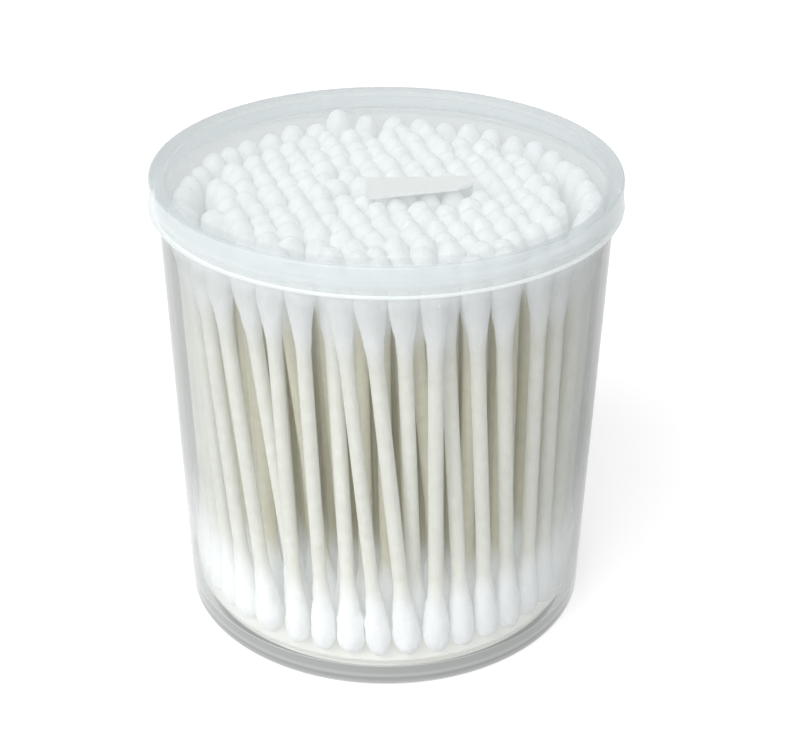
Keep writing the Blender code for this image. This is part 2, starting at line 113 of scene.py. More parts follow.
class NodeSheet:
    """A node tree, with short ways to add its nodes."""

    def __init__(self, tree: bpy.types.NodeTree) -> None:
        """Keep the tree.

        Args:
            tree: A material's or a world's node tree.
        """
        self.tree = tree

    def fill(self, socket: bpy.types.NodeSocket, value: object) -> None:
        """Link an output to a socket, or set the socket's constant.

        Args:
            socket: The input to fill.
            value: An output or a constant.
        """
        if isinstance(value, bpy.types.NodeSocket):
            self.tree.links.new(value, socket)
        else:
            socket.default_value = value

    def add(self, kind: str, **sockets: object) -> bpy.types.Node:
        """Add a node and set or link its inputs.

        Args:
            kind: The node's type name.
            **sockets: Input names with underscores for spaces, each a value or an output to link.

        Returns:
            The new node.
        """
        node = self.tree.nodes.new(kind)
        for key, value in sockets.items():
            self.fill(node.inputs[key.replace("_", " ")], value)
        return node

    def attribute(self, name: str) -> bpy.types.NodeSocket:
        """Give a value that is stored on the points.

        Args:
            name: The attribute's name.

        Returns:
            The value's output.
        """
        node = self.tree.nodes.new("ShaderNodeAttribute")
        node.attribute_name = name
        return node.outputs["Fac"]

    def math(
        self, operation: str, first: bpy.types.NodeSocket, second: object
    ) -> bpy.types.NodeSocket:
        """Work out a value from two others.

        Args:
            operation: The maths node's operation.
            first: An output.
            second: An output or a number.

        Returns:
            The result's output.
        """
        node = self.tree.nodes.new("ShaderNodeMath")
        node.operation = operation
        self.fill(node.inputs[0], first)
        self.fill(node.inputs[1], second)
        return node.outputs[0]

    def seen(self, path: bpy.types.Node) -> bpy.types.NodeSocket:
        """Give 1 for rays that the camera sends out, straight or through glass, and else 0.

        Args:
            path: The light path node.

        Returns:
            The value's output.
        """
        return self.math("MAXIMUM", path.outputs["Is Camera Ray"], path.outputs["Is Transmission Ray"])

    def place(self, scale: Color = EVEN) -> bpy.types.NodeSocket:
        """Give object coordinates, stretched by a scale.

        Args:
            scale: Scale along each axis.

        Returns:
            The vector output.
        """
        coordinates = self.add("ShaderNodeTexCoord")
        mapping = self.add("ShaderNodeMapping", Vector=coordinates.outputs["Object"], Scale=scale)
        return mapping.outputs["Vector"]

    def grain(self, scale: float, detail: float = 3.0, stretch: Color = EVEN) -> bpy.types.NodeSocket:
        """Give a noise pattern on object coordinates.

        Args:
            scale: Waves per metre.
            detail: Octaves of the noise.
            stretch: Scale along each axis.

        Returns:
            The noise's factor output.
        """
        node = self.add("ShaderNodeTexNoise", Vector=self.place(stretch), Scale=scale, Detail=detail)
        return node.outputs["Fac"]

    def mapped(
        self, value: bpy.types.NodeSocket, low: object, high: object, limits: Pair = (0.0, 1.0)
    ) -> bpy.types.NodeSocket:
        """Map a value from its own limits to new ones.

        Args:
            value: The value.
            low: Result at the value's lower limit, a number or an output.
            high: Result at the upper limit, a number or an output.
            limits: The value's own limits.

        Returns:
            The mapped output.
        """
        start, end = limits
        node = self.add(
            "ShaderNodeMapRange", Value=value, From_Min=start, From_Max=end, To_Min=low, To_Max=high
        )
        return node.outputs["Result"]

    def spread(
        self, pattern: bpy.types.NodeSocket, limits: Pair = (0.0, 1.0)
    ) -> bpy.types.NodeSocket:
        """Map a noise pattern's middle range to new limits.

        Args:
            pattern: The pattern.
            limits: The values where the pattern is low and where it is high.

        Returns:
            The mapped output.
        """
        return self.mapped(pattern, *limits, NOISE_MIDDLE)

    def blend(
        self, factor: bpy.types.NodeSocket, first: object, second: object
    ) -> bpy.types.NodeSocket:
        """Mix two colours by a factor.

        Args:
            factor: The share of the second colour.
            first: A colour or a colour output.
            second: A colour or a colour output.

        Returns:
            The mixed colour.
        """
        node = self.tree.nodes.new("ShaderNodeMix")
        node.data_type = "RGBA"
        self.fill(node.inputs[MIX_FACTOR], factor)
        self.fill(node.inputs[MIX_FIRST], opaque(first))
        self.fill(node.inputs[MIX_SECOND], opaque(second))
        return node.outputs[MIX_RESULT]

    def mottled(
        self, first: Color, second: Color, scale: float, detail: float = 3.0
    ) -> bpy.types.NodeSocket:
        """Mix two colours by a noise pattern.

        Args:
            first: The colour where the pattern is low.
            second: The colour where it is high.
            scale: Waves per metre.
            detail: Octaves of the noise.

        Returns:
            The mixed colour.
        """
        return self.blend(self.spread(self.grain(scale, detail)), first, second)


class MaterialSheet(NodeSheet):
    """A new material's node tree, with one Principled shader."""

    def __init__(self, name: str) -> None:
        """Start the material.

        Args:
            name: The material's name.
        """
        self.material = bpy.data.materials.new(name)
        self.material.use_nodes = True
        super().__init__(self.material.node_tree)
        self.shader = self.tree.nodes["Principled BSDF"]

    def set_shader(self, **sockets: float | tuple) -> None:
        """Set constant values on the shader's own sockets.

        Args:
            **sockets: Socket names with underscores for spaces, and their values.
        """
        for key, value in sockets.items():
            self.shader.inputs[key.replace("_", " ")].default_value = opaque(value)

    def join(self, output: bpy.types.NodeSocket, socket: str) -> None:
        """Link an output to one of the shader's sockets.

        Args:
            output: The output to link.
            socket: The shader socket's name.
        """
        self.tree.links.new(output, self.shader.inputs[socket])

    def veil(self, edge: float, power: float) -> None:
        """Let the surface show by its veil attribute, and more where it is seen edge on.

        Args:
            edge: Opacity seen fully edge on.
            power: How closely the edge's opacity keeps to the edge.
        """
        facing = self.add("ShaderNodeLayerWeight", Blend=0.5)
        rise = self.math("POWER", facing.outputs["Facing"], power)
        self.join(self.mapped(rise, self.attribute(VEIL_ATTRIBUTE), edge), "Alpha")

    def bump(self, height: bpy.types.NodeSocket, depth: float, strength: float) -> None:
        """Raise the surface by a pattern.

        Args:
            height: The pattern.
            depth: The pattern's height in metres.
            strength: How much of the bump shows.
        """
        node = self.add("ShaderNodeBump", Height=height, Distance=depth, Strength=strength)
        self.join(node.outputs["Normal"], "Normal")


@dataclass(frozen=True)
class SwabFinish:
    """White wound cotton that thins out over a cream paper stick, with a painted glow in the cotton's
    and paper's colours.
    """

    name: str = "wound_cotton_on_paper"
    cotton: Color = (0.86, 0.875, 0.88)
    cotton_shade: Color = (0.80, 0.825, 0.83)
    cotton_grain: float = 900.0
    paper: Color = (0.83, 0.84, 0.78)
    paper_shade: Color = (0.76, 0.765, 0.695)
    paper_glow: Color = (0.45, 0.47, 0.44)
    paper_grain: float = 500.0
    painted_glow: float = 0.125
    fibre_grain: float = 2400.0
    fibre_stretch: Color = (1.0, 1.0, 0.45)
    fibre_depth: float = 0.20 * MM
    fibre_strength: float = 0.8

    def material(self) -> bpy.types.Material:
        """Build the material, whose cotton follows the wrap attribute."""
        sheet = MaterialSheet(self.name)
        sheet.set_shader(Roughness=0.9, Sheen_Weight=0.5, Sheen_Roughness=0.6, Specular_IOR_Level=0.2)
        # Painted glow: emission in the cotton's and paper's colours stands in for light passed from swab
        # to swab.
        sheet.set_shader(Emission_Strength=self.painted_glow)
        cotton = sheet.mottled(self.cotton_shade, self.cotton, self.cotton_grain)
        paper = sheet.mottled(self.paper_shade, self.paper, self.paper_grain, detail=4.0)
        wrap = sheet.attribute(WRAP_ATTRIBUTE)
        sheet.join(sheet.blend(wrap, paper, cotton), "Base Color")
        sheet.join(sheet.blend(wrap, self.paper_glow, self.cotton), "Emission Color")
        fibres = sheet.grain(self.fibre_grain, detail=5.0, stretch=self.fibre_stretch)
        sheet.bump(fibres, self.fibre_depth, self.fibre_strength)
        return sheet.material


@dataclass(frozen=True)
class ShadedInnerSwabFinish(SwabFinish):
    """The same swabs inside the bundle, with painted shade: darker, warmer paper and a weaker painted
    glow stand in for the shade and warm bounce light between the sticks.
    """

    name: str = "shaded_inner_cotton_on_paper"
    cotton: Color = (0.87, 0.885, 0.885)
    cotton_shade: Color = (0.81, 0.835, 0.835)
    paper: Color = (0.825, 0.80, 0.67)
    paper_shade: Color = (0.745, 0.72, 0.59)
    paper_glow: Color = (0.24, 0.23, 0.16)


@dataclass(frozen=True)
class ClearStyrene:
    """Clear moulded plastic that shows most edge on, with a painted highlight at its rim and painted
    light along the lower buds.
    """

    name: str = "clear_styrene"
    tint: Color = (0.52, 0.55, 0.54)
    shade: Color = (0.47, 0.50, 0.49)
    # Pale tone for the painted highlight at the rim and the painted light along the lower buds.
    pale: Color = (0.86, 0.89, 0.89)
    flow_grain: float = 60.0
    gloss_grain: float = 90.0
    roughness: Pair = (0.05, 0.12)
    wave_grain: float = 45.0
    wave_depth: float = 0.05 * MM
    wave_strength: float = 0.3
    edge: float = 0.88
    power: float = 3.2

    def material(self) -> bpy.types.Material:
        """Build the material, with faint flow marks."""
        sheet = MaterialSheet(self.name)
        sheet.set_shader(IOR=1.5)
        body = sheet.mottled(self.shade, self.tint, self.flow_grain)
        # Painted highlight and painted light: the pale tone at the rim and along the lower buds.
        sheet.join(sheet.blend(sheet.attribute(PAINTED_LIGHT_SHADE_ATTRIBUTE), body, self.pale), "Base Color")
        sheet.join(sheet.spread(sheet.grain(self.gloss_grain), self.roughness), "Roughness")
        sheet.veil(self.edge, self.power)
        sheet.bump(sheet.grain(self.wave_grain, detail=1.0), self.wave_depth, self.wave_strength)
        return sheet.material


@dataclass(frozen=True)
class ThickStyrene:
    """The same clear plastic where the foot is thick: grey, with painted light at the bottom and a
    darker painted line where it turns under.
    """

    name: str = "thick_styrene"
    band_height: float = 0.0045
    # Painted light and shade by height: pale at the bottom against the contact shadow, a darker painted
    # line where the foot turns under, and lighter and greyer bands above it.
    tone_shares: tuple[Pair, ...] = (
        (0.00, 0.80),
        (0.08, 0.76),
        (0.17, 0.52),
        (0.24, 0.42),
        (0.31, 0.38),
        (0.36, 0.34),
        (0.41, 0.34),
        (0.46, 0.42),
        (0.51, 0.48),
        (0.56, 0.48),
        (0.63, 0.42),
        (0.68, 0.40),
    )
    cast: Color = (1.0, 1.03, 1.01)
    cloud: Color = (0.24, 0.255, 0.245)
    cloud_grain: float = 60.0
    cloud_share: float = 0.14
    albedo_share: float = 0.60
    glow: float = 0.56
    gloss_grain: float = 80.0
    roughness: Pair = (0.08, 0.16)
    wave_grain: float = 45.0
    wave_depth: float = 0.03 * MM
    wave_strength: float = 0.3
    edge: float = 0.95
    power: float = 3.0

    def material(self) -> bpy.types.Material:
        """Build the material, whose tone is painted by height and is partly a painted glow."""
        sheet = MaterialSheet(self.name)
        # Painted glow: part of the tone is emission, so the foot stays light where it is seen from
        # inside the plastic.
        sheet.set_shader(IOR=1.5, Emission_Strength=self.glow)
        parts = sheet.add("ShaderNodeSeparateXYZ", Vector=sheet.place())
        height = sheet.mapped(parts.outputs["Z"], 0.0, 1.0, (0.0, self.band_height))
        ramp = sheet.add("ShaderNodeValToRGB", Fac=height)
        stops = ramp.color_ramp.elements
        stops.remove(stops[-1])
        for position, tone in self.tone_shares:
            stop = stops.new(position) if position > 0 else stops[0]
            stop.color = opaque(tuple(tone * self.albedo_share * part for part in self.cast))
        clouds = sheet.spread(sheet.grain(self.cloud_grain), (0.0, self.cloud_share))
        body = sheet.blend(clouds, ramp.outputs["Color"], self.cloud)
        sheet.join(body, "Base Color")
        sheet.join(body, "Emission Color")
        sheet.join(sheet.spread(sheet.grain(self.gloss_grain), self.roughness), "Roughness")
        sheet.veil(self.edge, self.power)
        sheet.bump(sheet.grain(self.wave_grain, detail=1.0), self.wave_depth, self.wave_strength)
        return sheet.material


@dataclass(frozen=True)
class FloorStyrene:
    """The tub's floor, with a painted reflection of the white cotton: a bright tint and a painted glow.
    """

    name: str = "floor_styrene"
    tint: Color = (0.89, 0.89, 0.855)
    shade: Color = (0.84, 0.84, 0.805)
    flow_grain: float = 90.0
    glow: float = 0.20
    gloss_grain: float = 80.0
    roughness: Pair = (0.05, 0.10)
    edge: float = 0.9
    power: float = 3.0

    def material(self) -> bpy.types.Material:
        """Build the material."""
        sheet = MaterialSheet(self.name)
        # Painted reflection of the white cotton: a bright tint with a painted glow in it.
        sheet.set_shader(IOR=1.5, Emission_Color=self.tint, Emission_Strength=self.glow)
        sheet.join(sheet.mottled(self.shade, self.tint, self.flow_grain), "Base Color")
        sheet.join(sheet.spread(sheet.grain(self.gloss_grain), self.roughness), "Roughness")
        sheet.veil(self.edge, self.power)
        return sheet.material


@dataclass(frozen=True)
class FrostedPolypropylene:
    """Milky satin plastic, denser at its band and edges, with painted shade, greyer over the band and on
    its inner side, and a painted highlight at its lip.
    """

    name: str = "frosted_polypropylene"
    tint: Color = (0.77, 0.825, 0.835)
    shade: Color = (0.73, 0.785, 0.795)
    # Grey tone for the painted shade over the band and on its inner side.
    painted_shade_grey: Color = (0.61, 0.67, 0.69)
    # Pale tone for the painted highlight on the skirt's lip.
    lip: Color = (0.92, 0.95, 0.95)
    flow_grain: float = 70.0
    painted_glow: float = 0.09
    satin_grain: float = 120.0
    roughness: Pair = (0.28, 0.38)
    frost_grain: float = 1500.0
    frost_depth: float = 0.01 * MM
    frost_strength: float = 0.4
    edge: float = 0.92
    power: float = 4.0

    def material(self) -> bpy.types.Material:
        """Build the material, with faint flow marks in its haze."""
        sheet = MaterialSheet(self.name)
        # Painted glow in the plastic's tint.
        sheet.set_shader(IOR=1.49, Emission_Color=self.tint, Emission_Strength=self.painted_glow)
        haze = sheet.mottled(self.shade, self.tint, self.flow_grain)
        # Painted shade: a greyer tone where the shared tone attribute marks the ring over the band and
        # the band's inner side.
        body = sheet.blend(sheet.attribute(PAINTED_LIGHT_SHADE_ATTRIBUTE), haze, self.painted_shade_grey)
        # Painted highlight: a pale tone on the skirt's lip.
        sheet.join(sheet.blend(sheet.attribute(LIP_ATTRIBUTE), body, self.lip), "Base Color")
        sheet.join(sheet.spread(sheet.grain(self.satin_grain, detail=2.0), self.roughness), "Roughness")
        sheet.veil(self.edge, self.power)
        sheet.bump(sheet.grain(self.frost_grain, detail=2.0), self.frost_depth, self.frost_strength)
        return sheet.material


@dataclass(frozen=True)
class PaleCard:
    """Uncoated pale card with soft fibres and a painted glow."""

    name: str = "pale_card"
    face: Color = (0.87, 0.88, 0.865)
    shade: Color = (0.82, 0.83, 0.815)
    cloud_grain: float = 1300.0
    painted_glow: float = 0.05
    fibre_grain: float = 2600.0
    fibre_depth: float = 0.04 * MM
    fibre_strength: float = 0.5

    def material(self) -> bpy.types.Material:
        """Build the material."""
        sheet = MaterialSheet(self.name)
        sheet.set_shader(Roughness=0.75, Specular_IOR_Level=0.3)
        # Painted glow in the card's own colour.
        sheet.set_shader(Emission_Color=self.face, Emission_Strength=self.painted_glow)
        sheet.join(sheet.mottled(self.shade, self.face, self.cloud_grain, detail=4.0), "Base Color")
        sheet.bump(sheet.grain(self.fibre_grain, detail=4.0), self.fibre_depth, self.fibre_strength)
        return sheet.material


@dataclass(frozen=True)
class StudioFloor:
    """White floor, a little brighter where no plastic lies before it, that keeps the object's shadow."""

    name: str = "studio_floor"
    albedo: float = 0.70
    albedo_spread: float = 0.005
    cloud_grain: float = 6.0
    glow: float = 0.48

    def material(self) -> bpy.types.Material:
        """Build the material, whose soft glow is for rays that have passed no see-through surface."""
        sheet = MaterialSheet(self.name)
        sheet.set_shader(Roughness=0.9, Specular_IOR_Level=0.0, Emission_Color=WHITE)
        dark, light = ((self.albedo + step,) * 3 for step in (-self.albedo_spread, self.albedo_spread))
        sheet.join(sheet.mottled(dark, light, self.cloud_grain, detail=2.0), "Base Color")
        path = sheet.add("ShaderNodeLightPath")
        shown = sheet.math("MAXIMUM", sheet.seen(path), path.outputs["Is Glossy Ray"])
        clear = sheet.mapped(path.outputs["Transparent Depth"], self.glow, 0.0)
        sheet.join(sheet.math("MULTIPLY", shown, clear), "Emission Strength")
        return sheet.material


def add_object(name: str, mesh: bpy.types.Mesh) -> bpy.types.Object:
    """Link a new object that shows this mesh.

    Args:
        name: The object's name.
        mesh: The mesh, in the frame's own coordinates.

    Returns:
        The object, at the origin.
    """
    item = bpy.data.objects.new(name, mesh)
    bpy.context.scene.collection.objects.link(item)
    return item


def finish_mesh(
    bm: bmesh.types.BMesh, name: str, sharp_deg: float, *finishes: bpy.types.Material
) -> bpy.types.Mesh:
    """Turn a bmesh into a smooth shaded mesh with its finishes.

    Args:
        bm: The bmesh, which is freed.
        name: The mesh's name.
        sharp_deg: Edges that turn more than this stay sharp.
        *finishes: The materials, in the order of the faces' own numbers.

    Returns:
        The mesh.
    """
    mesh = bpy.data.meshes.new(name)
    bm.to_mesh(mesh)
    bm.free()
    for finish in finishes:
        mesh.materials.append(finish)
    mesh.shade_smooth()
    mesh.set_sharp_from_angle(angle=math.radians(sharp_deg))
    return mesh


def store(bm: bmesh.types.BMesh, attribute: str, value_at: Callable[[float, float], float]) -> None:
    """Store a value on each point of a turned body.

    Args:
        bm: The turned body.
        attribute: The value's name.
        value_at: Gives the value at a radius and a height.
    """
    layer = bm.verts.layers.float.new(attribute)
    for vert in bm.verts:
        vert[layer] = value_at(vert.co.to_2d().length, vert.co.z)


def arc(center: Pair, radius: float, start_deg: float, end_deg: float, steps: int) -> Profile:
    """Points of an arc in a turning profile, ends included.

    Args:
        center: Radius and height of the arc's centre.
        radius: The arc's radius.
        start_deg: Start angle from the outward direction.
        end_deg: End angle.
        steps: Segments along the arc.

    Returns:
        The points as (radius, height).
    """
    points = []
    for i in range(steps + 1):
        angle = math.radians(start_deg + (end_deg - start_deg) * i / steps)
        points.append((center[0] + radius * math.cos(angle), center[1] + radius * math.sin(angle)))
    return points


def turned(profile: Profile, sides: int) -> bmesh.types.BMesh:
    """Spin an open profile whose ends lie on the axis into a closed body.

    Args:
        profile: Points as (radius, height).
        sides: Sides around the axis.

    Returns:
        The closed body with its faces outwards.
    """
    bm = bmesh.new()
    points = [bm.verts.new((radius, 0, height)) for radius, height in profile]
    edges = [bm.edges.new(pair) for pair in zip(points, points[1:])]
    bmesh.ops.spin(
        bm,
        geom=points + edges,
        cent=(0, 0, 0),
        axis=(0, 0, 1),
        angle=FULL_TURN,
        steps=sides,
        use_merge=True,
    )
    bmesh.ops.remove_doubles(bm, verts=bm.verts, dist=MERGE_DISTANCE)
    bmesh.ops.recalc_face_normals(bm, faces=bm.faces)
    return bm


@dataclass
class Tub:
    """The clear cup: a leaning wall with a rounded rim, a floor and a foot ring."""

    height: float = 0.0789
    rim_radius: float = 0.0390
    foot_radius: float = 0.0369
    wall: float = 0.0012
    floor: float = 0.0012
    fillet: float = 0.0012
    rim_rounding: float = 0.0004
    foot_height: float = 0.0028
    foot_width: float = 0.0016
    foot_rounding: float = 0.0010
    gate_radius: float = 0.0015
    gate_height: float = 0.0004
    floor_share: float = 0.8
    band_share: float = 0.4
    wall_veil: float = 0.05
    # Where the painted light of the lower buds lies on the wall, and how strong it is.
    bright_height: float = 0.016
    bright_end: float = 0.032
    bright_share: float = 0.95
    haze_veil: float = 0.13
    haze_depth: float = 0.020
    rim_veil: float = 0.22
    rim_veil_depth: float = 0.0050
    rim_veil_hold: float = 0.0022
    floor_veil: float = 0.80
    foot_veil: float = 0.93
    sharp_deg: float = 40.0
    sides: int = 160
    steps: int = 6

    @property
    def floor_top(self) -> float:
        """Height of the floor's upper face."""
        return self.foot_height + self.floor

    @property
    def fillet_middle(self) -> float:
        """Height of the middle of the fillet between floor and wall."""
        return self.floor_top + self.fillet / 2

    @property
    def wall_middle(self) -> float:
        """Radius of the middle of the wall, at its foot."""
        return self.foot_radius - self.wall / 2

    @property
    def floor_from(self) -> float:
        """Height over which the plastic inside counts as the floor, and not as the foot ring."""
        return self.foot_height * self.floor_share

    def is_foot(self, height: float) -> bool:
        """Tell whether a height on the outer face is in the foot's band."""
        return height <= self.floor_top + self.fillet * self.band_share

    def outer_radius(self, height: float) -> float:
        """Give the wall's outer radius at a height."""
        share = (height - self.foot_height) / (self.height - self.foot_height)
        return self.foot_radius + (self.rim_radius - self.foot_radius) * share

    def rim_heights(self) -> tuple[float, float, float]:
        """Give the heights where the rim's veil starts to rise, is halfway and is full."""
        low, high = self.height - self.rim_veil_depth, self.height - self.rim_veil_hold
        return (low, (low + high) / 2, high)

    def wall_heights(self) -> list[float]:
        """Give the heights of the wall's points, from the bottom up."""
        upper = (self.height * 2 / 3, self.height - self.haze_depth)
        return [self.bright_height, self.bright_end, *upper, *self.rim_heights()]

    def profile(self) -> Profile:
        """Give the outline from the floor's middle over the rim to the underside's middle."""
        fillet_height = self.floor_top + self.fillet
        fillet_radius = self.outer_radius(fillet_height) - self.wall - self.fillet
        rim_height = self.height - self.rim_rounding
        foot_inner = self.foot_radius - self.foot_width - self.foot_rounding
        ledge = self.foot_rounding / 3
        points = [(0.0, self.floor_top)]
        points += arc((fillet_radius, fillet_height), self.fillet, -90, 0, self.steps)
        points += [(self.outer_radius(height) - self.wall, height) for height in self.wall_heights()]
        rim_inner = self.rim_radius - self.wall + self.rim_rounding
        rim_outer = self.rim_radius - self.rim_rounding
        points += arc((rim_inner, rim_height), self.rim_rounding, 180, 90, self.steps)
        points += arc((rim_outer, rim_height), self.rim_rounding, 90, 0, self.steps)
        foot_band = (self.fillet_middle, self.floor_top + self.fillet / 3, self.foot_height)
        outside = (*reversed(self.wall_heights()), *foot_band)
        points += [(self.outer_radius(height), height) for height in outside]
        foot_round = (self.foot_radius - self.foot_rounding, self.foot_rounding)
        points += arc(foot_round, self.foot_rounding, 0, -90, self.steps)
        points += [
            (foot_inner + ledge, 0.0),
            (foot_inner, ledge),
            (foot_inner, self.foot_height - ledge),
            (foot_inner - ledge, self.foot_height),
            (self.gate_radius, self.foot_height),
            (self.gate_radius, self.foot_height - self.gate_height),
            (0.0, self.foot_height - self.gate_height),
        ]
        return points

    def veil_at(self, radius: float, height: float) -> float:
        """Give the plastic's opacity, which rises towards the rim and is highest at the foot.

        Args:
            radius: Distance from the axis.
            height: Height of the point.

        Returns:
            The opacity, seen face on.
        """
        veiled = self.height - self.rim_veil_depth
        if height > veiled:
            share = min(1.0, (height - veiled) / (self.rim_veil_depth - self.rim_veil_hold))
            return self.haze_veil + (self.rim_veil - self.haze_veil) * share
        hazy = self.height - self.haze_depth
        if height > hazy:
            rise = (self.haze_veil - self.wall_veil) * (height - hazy) / (veiled - hazy)
            return self.wall_veil + rise
        if radius > self.wall_middle:
            return self.foot_veil if self.is_foot(height) else self.wall_veil
        if height > self.fillet_middle:
            return self.wall_veil
        return self.floor_veil if height > self.floor_from else self.foot_veil

    def painted_light_at(self, height: float) -> float:
        """Give the share of the pale tone, which is painted: a painted highlight fully at the rim, and
        painted light of the lower buds nearly as strong along them.

        Args:
            height: Height of the point.

        Returns:
            The share of the painted pale tone.
        """
        if height > self.rim_heights()[1] - POINT_SLACK:
            return 1.0
        lower = (self.bright_end - height) / (self.bright_end - self.bright_height)
        return self.bright_share * min(1.0, max(0.0, lower))

    def part_at(self, middle: Vector) -> TubPart:
        """Tell which material a face has.

        Args:
            middle: The face's middle.

        Returns:
            The part that it belongs to.
        """
        inside = middle.to_2d().length < self.wall_middle
        if inside and self.floor_from < middle.z < self.fillet_middle:
            return TubPart.FLOOR
        return TubPart.FOOT if self.is_foot(middle.z) else TubPart.WALL

    def build(self, *finishes: bpy.types.Material) -> bpy.types.Object:
        """Make the cup and let it stand for the CAD tub.

        Args:
            *finishes: The plastic of the wall, of the foot and of the floor.

        Returns:
            The dressed piece.
        """
        bm = turned(self.profile(), self.sides)
        store(bm, VEIL_ATTRIBUTE, self.veil_at)
        # Share of the painted pale tone: a painted highlight at the rim and painted light along the
        # lower buds.
        store(bm, PAINTED_LIGHT_SHADE_ATTRIBUTE, lambda _, height: self.painted_light_at(height))
        for face in bm.faces:
            face.material_index = self.part_at(face.calc_center_median()).value
        piece = add_object("clear_tub", finish_mesh(bm, "clear_tub", self.sharp_deg, *finishes))
        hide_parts("tub")
        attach(piece, Body.TUB.value)
        return piece


@dataclass
class Lid:
    """The frosted cap: a flat plate, a thick band that meets the rim and a thin skirt."""

    seat_height: float = 0.0792
    rim_radius: float = 0.0390
    rim_wall: float = 0.0012
    clearance: float = 0.0003
    plate: float = 0.0010
    wall: float = 0.0010
    band_height: float = 0.0023
    skirt: float = 0.0021
    flare: float = 0.0003
    flare_shares: Pair = (0.25, 0.8)
    edge_rounding: float = 0.0006
    lip_rounding: float = 0.00025
    lip_share: float = 0.8
    ring_run: float = 0.0012
    plate_veil: float = 0.11
    ring_veil: float = 0.23
    inner_veil: float = 0.53
    band_veil: float = 0.46
    skirt_veil: float = 0.22
    lip_veil: float = 0.85
    sharp_deg: float = 40.0
    sides: int = 160
    steps: int = 6

    @property
    def band_radius(self) -> float:
        """Radius of the band's inner side."""
        return self.rim_radius - self.rim_wall

    @property
    def ring_from(self) -> float:
        """Radius over which a point counts as lying over the band."""
        return self.band_radius - self.lip_rounding / 2

    @property
    def under(self) -> float:
        """Height of the plate's underside."""
        return self.seat_height + self.band_height

    @property
    def top(self) -> float:
        """Height of the plate's upper face."""
        return self.under + self.plate

    @property
    def end(self) -> float:
        """Height of the skirt's lower end."""
        return self.seat_height - self.skirt

    def profile(self) -> Profile:
        """Give the outline from the top's middle over the skirt to the plate's underside."""
        band_radius, under, top, end = self.band_radius, self.under, self.top, self.end
        bore = self.rim_radius + self.clearance
        outer = bore + self.wall
        lip = self.lip_rounding
        edge = outer - self.edge_rounding
        upper_flare, lower_flare = (self.flare * share for share in self.flare_shares)
        plate_radii = (0.0, band_radius / 2, band_radius - self.ring_run, band_radius, edge - lip)
        points = [(radius, top) for radius in plate_radii]
        points += arc((edge, top - self.edge_rounding), self.edge_rounding, 90, 0, self.steps)
        points += [
            (outer, top - self.edge_rounding - lip),
            (outer, self.seat_height + lip),
            (outer + upper_flare, self.seat_height - lip * 2),
            (outer + lower_flare, end + lip * 2),
        ]
        points += arc((outer + self.flare - lip, end + lip), lip, 0, -90, self.steps)
        points += arc((bore + self.flare + lip, end + lip), lip, -90, -180, self.steps)
        points += [
            (bore + lower_flare, end + lip * 2),
            (bore, self.seat_height),
            (band_radius + lip, self.seat_height),
            (band_radius, self.seat_height + lip),
        ]
        points += arc((band_radius - lip, under - lip), lip, 0, 90, self.steps)
        points += [(band_radius - lip * 3, under), (band_radius / 2, under), (0.0, under)]
        return points

    def is_top(self, height: float) -> bool:
        """Tell whether a height is that of the upper face."""
        return height > self.top - self.edge_rounding / 2

    def is_ring(self, radius: float, height: float) -> bool:
        """Tell whether a point of the top lies over the band."""
        return self.is_top(height) and radius > self.ring_from

    def is_inner(self, radius: float, height: float) -> bool:
        """Tell whether a point lies on the band's inner side."""
        low, high = self.seat_height + self.lip_rounding / 2, self.under - self.lip_rounding / 4
        return low < height < high and radius < self.band_radius + self.lip_rounding

    def has_painted_shade(self, radius: float, height: float) -> bool:
        """Tell whether much plastic lies behind a point, where the lid gets its painted shade."""
        return self.is_ring(radius, height) or self.is_inner(radius, height)

    def is_lip(self, height: float) -> bool:
        """Tell whether a height is on the skirt's lip, which gets a painted highlight."""
        return height < self.end + self.lip_rounding * self.lip_share

    def veil_at(self, radius: float, height: float) -> float:
        """Give the plastic's opacity: thin at the plate, denser at the band, densest at the edges.

        Args:
            radius: Distance from the axis.
            height: Height of the point.

        Returns:
            The opacity, seen face on.
        """
        if self.is_lip(height):
            return self.lip_veil
        if height < self.seat_height - self.lip_rounding:
            return self.skirt_veil
        if self.is_ring(radius, height):
            return self.ring_veil
        if self.is_inner(radius, height):
            return self.inner_veil
        on_plate = radius < self.ring_from or self.is_top(height)
        return self.plate_veil if on_plate else self.band_veil

    def build(self, finish: bpy.types.Material) -> bpy.types.Object:
        """Make the cap and let it stand for the CAD lid.

        Args:
            finish: The frosted plastic.

        Returns:
            The dressed piece.
        """
        bm = turned(self.profile(), self.sides)
        store(bm, VEIL_ATTRIBUTE, self.veil_at)
        # Painted shade over the band and on its inner side.
        store(bm, PAINTED_LIGHT_SHADE_ATTRIBUTE, lambda radius, height: float(self.has_painted_shade(radius, height)))
        # Painted highlight on the skirt's lip.
        store(bm, LIP_ATTRIBUTE, lambda _, height: float(self.is_lip(height)))
        piece = add_object("frosted_lid", finish_mesh(bm, "frosted_lid", self.sharp_deg, finish))
        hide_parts("lid")
        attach(piece, Body.LID.value)
        return piece


@dataclass(frozen=True)
class SwabPlace:
    """Where one swab stands: its two tips."""

    foot: Vector
    head: Vector

    def matrix(self, spin: float, nudge: Vector, girth: float) -> Matrix:
        """Give the matrix that stands an upright swab here.

        Args:
            spin: Turn about the swab's own axis.
            nudge: How far the head is moved from its place.
            girth: The swab's thickness as a share of the usual one.

        Returns:
            The placing matrix.
        """
        axis = self.head + nudge - self.foot
        lean = Vector((0, 0, 1)).rotation_difference(axis).to_matrix().to_4x4()
        stretch = axis.length / (self.head - self.foot).length
        size = Matrix.Diagonal((girth, girth, stretch, 1.0))
        return Matrix.Translation(self.foot) @ lean @ Matrix.Rotation(spin, 4, "Z") @ size


